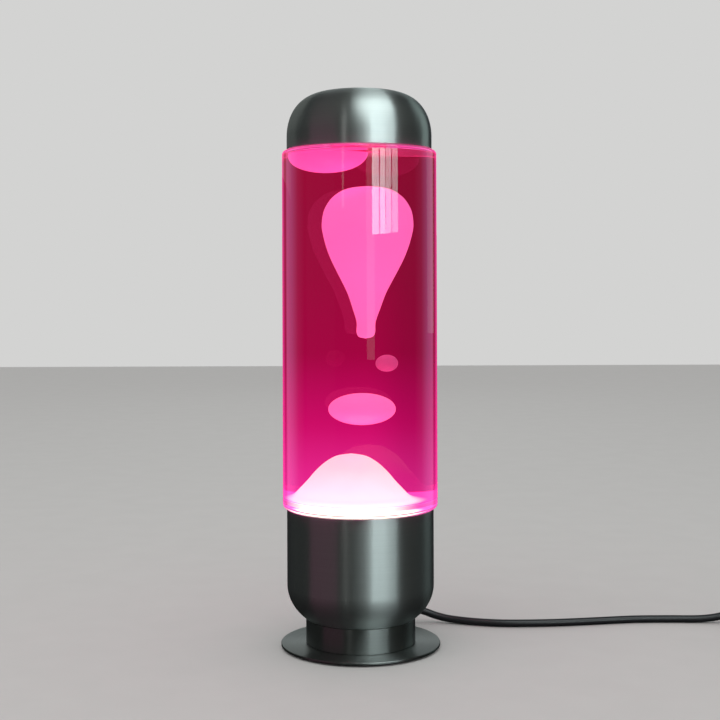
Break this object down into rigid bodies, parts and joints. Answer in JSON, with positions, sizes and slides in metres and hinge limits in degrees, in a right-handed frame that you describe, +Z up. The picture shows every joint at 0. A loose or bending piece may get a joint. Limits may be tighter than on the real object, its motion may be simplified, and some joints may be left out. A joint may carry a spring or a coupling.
{
  "type": "lava lamp",
  "caption": "Table lamp with a glass cylinder of red liquid and pink wax on a round-bottomed satin aluminium base over a disc foot, under a domed aluminium cap, with coiled mains cord.",
  "frame": {"origin": "centre of the underside, on the table", "axes": "+Z up along the lamp's own axis, +Y to the back where the cord leaves, +X towards the coiled cord"},
  "size_m": [0.3962, 0.1159, 0.3586],
  "materials": {
    "spun_aluminium": "satin, spun",
    "black_rubber": "matt",
    "zinc_steel": "zinc plated",
    "clear_glass": "clear, polished",
    "bulb_glass": "pearl, lit from inside",
    "liquid": null,
    "wax": "pink wax, lit from below",
    "brass": "plain",
    "black_phenolic": "moulded",
    "white_plastic": "moulded",
    "black_pvc": "satin, moulded or extruded",
    "tungsten": "glowing wire",
    "crown_steel": "lacquered tinplate"
  },
  "bodies": {
    "base": {"foot_pad": "black_rubber", "foot_plate": "spun_aluminium", "foot_collar": "spun_aluminium", "base_housing": "spun_aluminium", "inner_plate": "zinc_steel", "bottle_seat": "spun_aluminium", "seat_gasket": "black_rubber", "tie_screw_1": "zinc_steel", "tie_screw_2": "zinc_steel", "tie_screw_3": "zinc_steel", "tie_nut_1": "zinc_steel", "tie_nut_2": "zinc_steel", "tie_nut_3": "zinc_steel", "lampholder": "black_phenolic", "lampholder_shell": "brass", "lampholder_contact": "brass", "holder_screw_1": "zinc_steel", "holder_screw_2": "zinc_steel", "terminal_block": "white_plastic", "lead_line": "black_pvc", "lead_neutral": "black_pvc", "cord_inner": "black_pvc", "cord_gland": "black_rubber", "cord_run": "black_pvc", "cord_bend": "black_pvc", "cord_coil": "black_pvc", "cord_tail": "black_pvc", "cord_tie": "black_rubber", "switch_lower": "black_pvc", "switch_upper": "black_pvc", "switch_terminal_1": "brass", "switch_terminal_2": "brass", "switch_screw_1": "zinc_steel", "switch_screw_2": "zinc_steel", "plug_body": "black_pvc", "plug_pin_line": "brass", "plug_pin_neutral": "brass"},
    "bulb": {"bulb_cap": "brass", "bulb_contact": "black_phenolic", "bulb_envelope": "bulb_glass", "bulb_stem": "bulb_glass", "bulb_filament": "tungsten"},
    "bottle": {"glass_bottle": "clear_glass", "liquid": "liquid", "wax_mound": "wax", "wax_top_blob": "wax", "heating_coil": "zinc_steel", "crown_liner": "black_rubber", "bottle_crown": "crown_steel"},
    "balloon": {"wax_balloon": "wax"},
    "lens": {"wax_lens": "wax"},
    "droplet": {"wax_droplet": "wax"},
    "cap": {"top_cap": "spun_aluminium", "cap_ring": "black_rubber"},
    "rocker": {"switch_rocker": "black_pvc"}
  },
  "joints": [
    {"name": "bottle_lift", "type": "slide", "parent": "base", "child": "bottle", "axis": [0, 0, 1], "range_m": [0, 0.06]},
    {"name": "cap_lift", "type": "slide", "parent": "bottle", "child": "cap", "axis": [0, 0, 1], "range_m": [0, 0.045]},
    {"name": "bulb_turn", "type": "hinge", "parent": "base", "child": "bulb", "pos_m": [0, 0, 0.03], "axis": [0, 0, 1], "range_deg": [0, 360]},
    {"name": "rocker_tilt", "type": "hinge", "parent": "base", "child": "rocker", "pos_m": [0.292, 0.053, 0.0123], "axis": [0, 1, 0], "range_deg": [-7, 7]},
    {"name": "balloon_rise", "type": "slide", "parent": "bottle", "child": "balloon", "axis": [0, 0, 1], "range_m": [-0.004, 0.007], "deforming": ["liquid"]},
    {"name": "lens_rise", "type": "slide", "parent": "bottle", "child": "lens", "axis": [0, 0, 1], "range_m": [-0.014, 0.006], "deforming": ["liquid"]},
    {"name": "droplet_rise", "type": "slide", "parent": "bottle", "child": "droplet", "axis": [0, 0, 1], "range_m": [-0.005, 0.0045], "deforming": ["liquid"]}
  ]
}
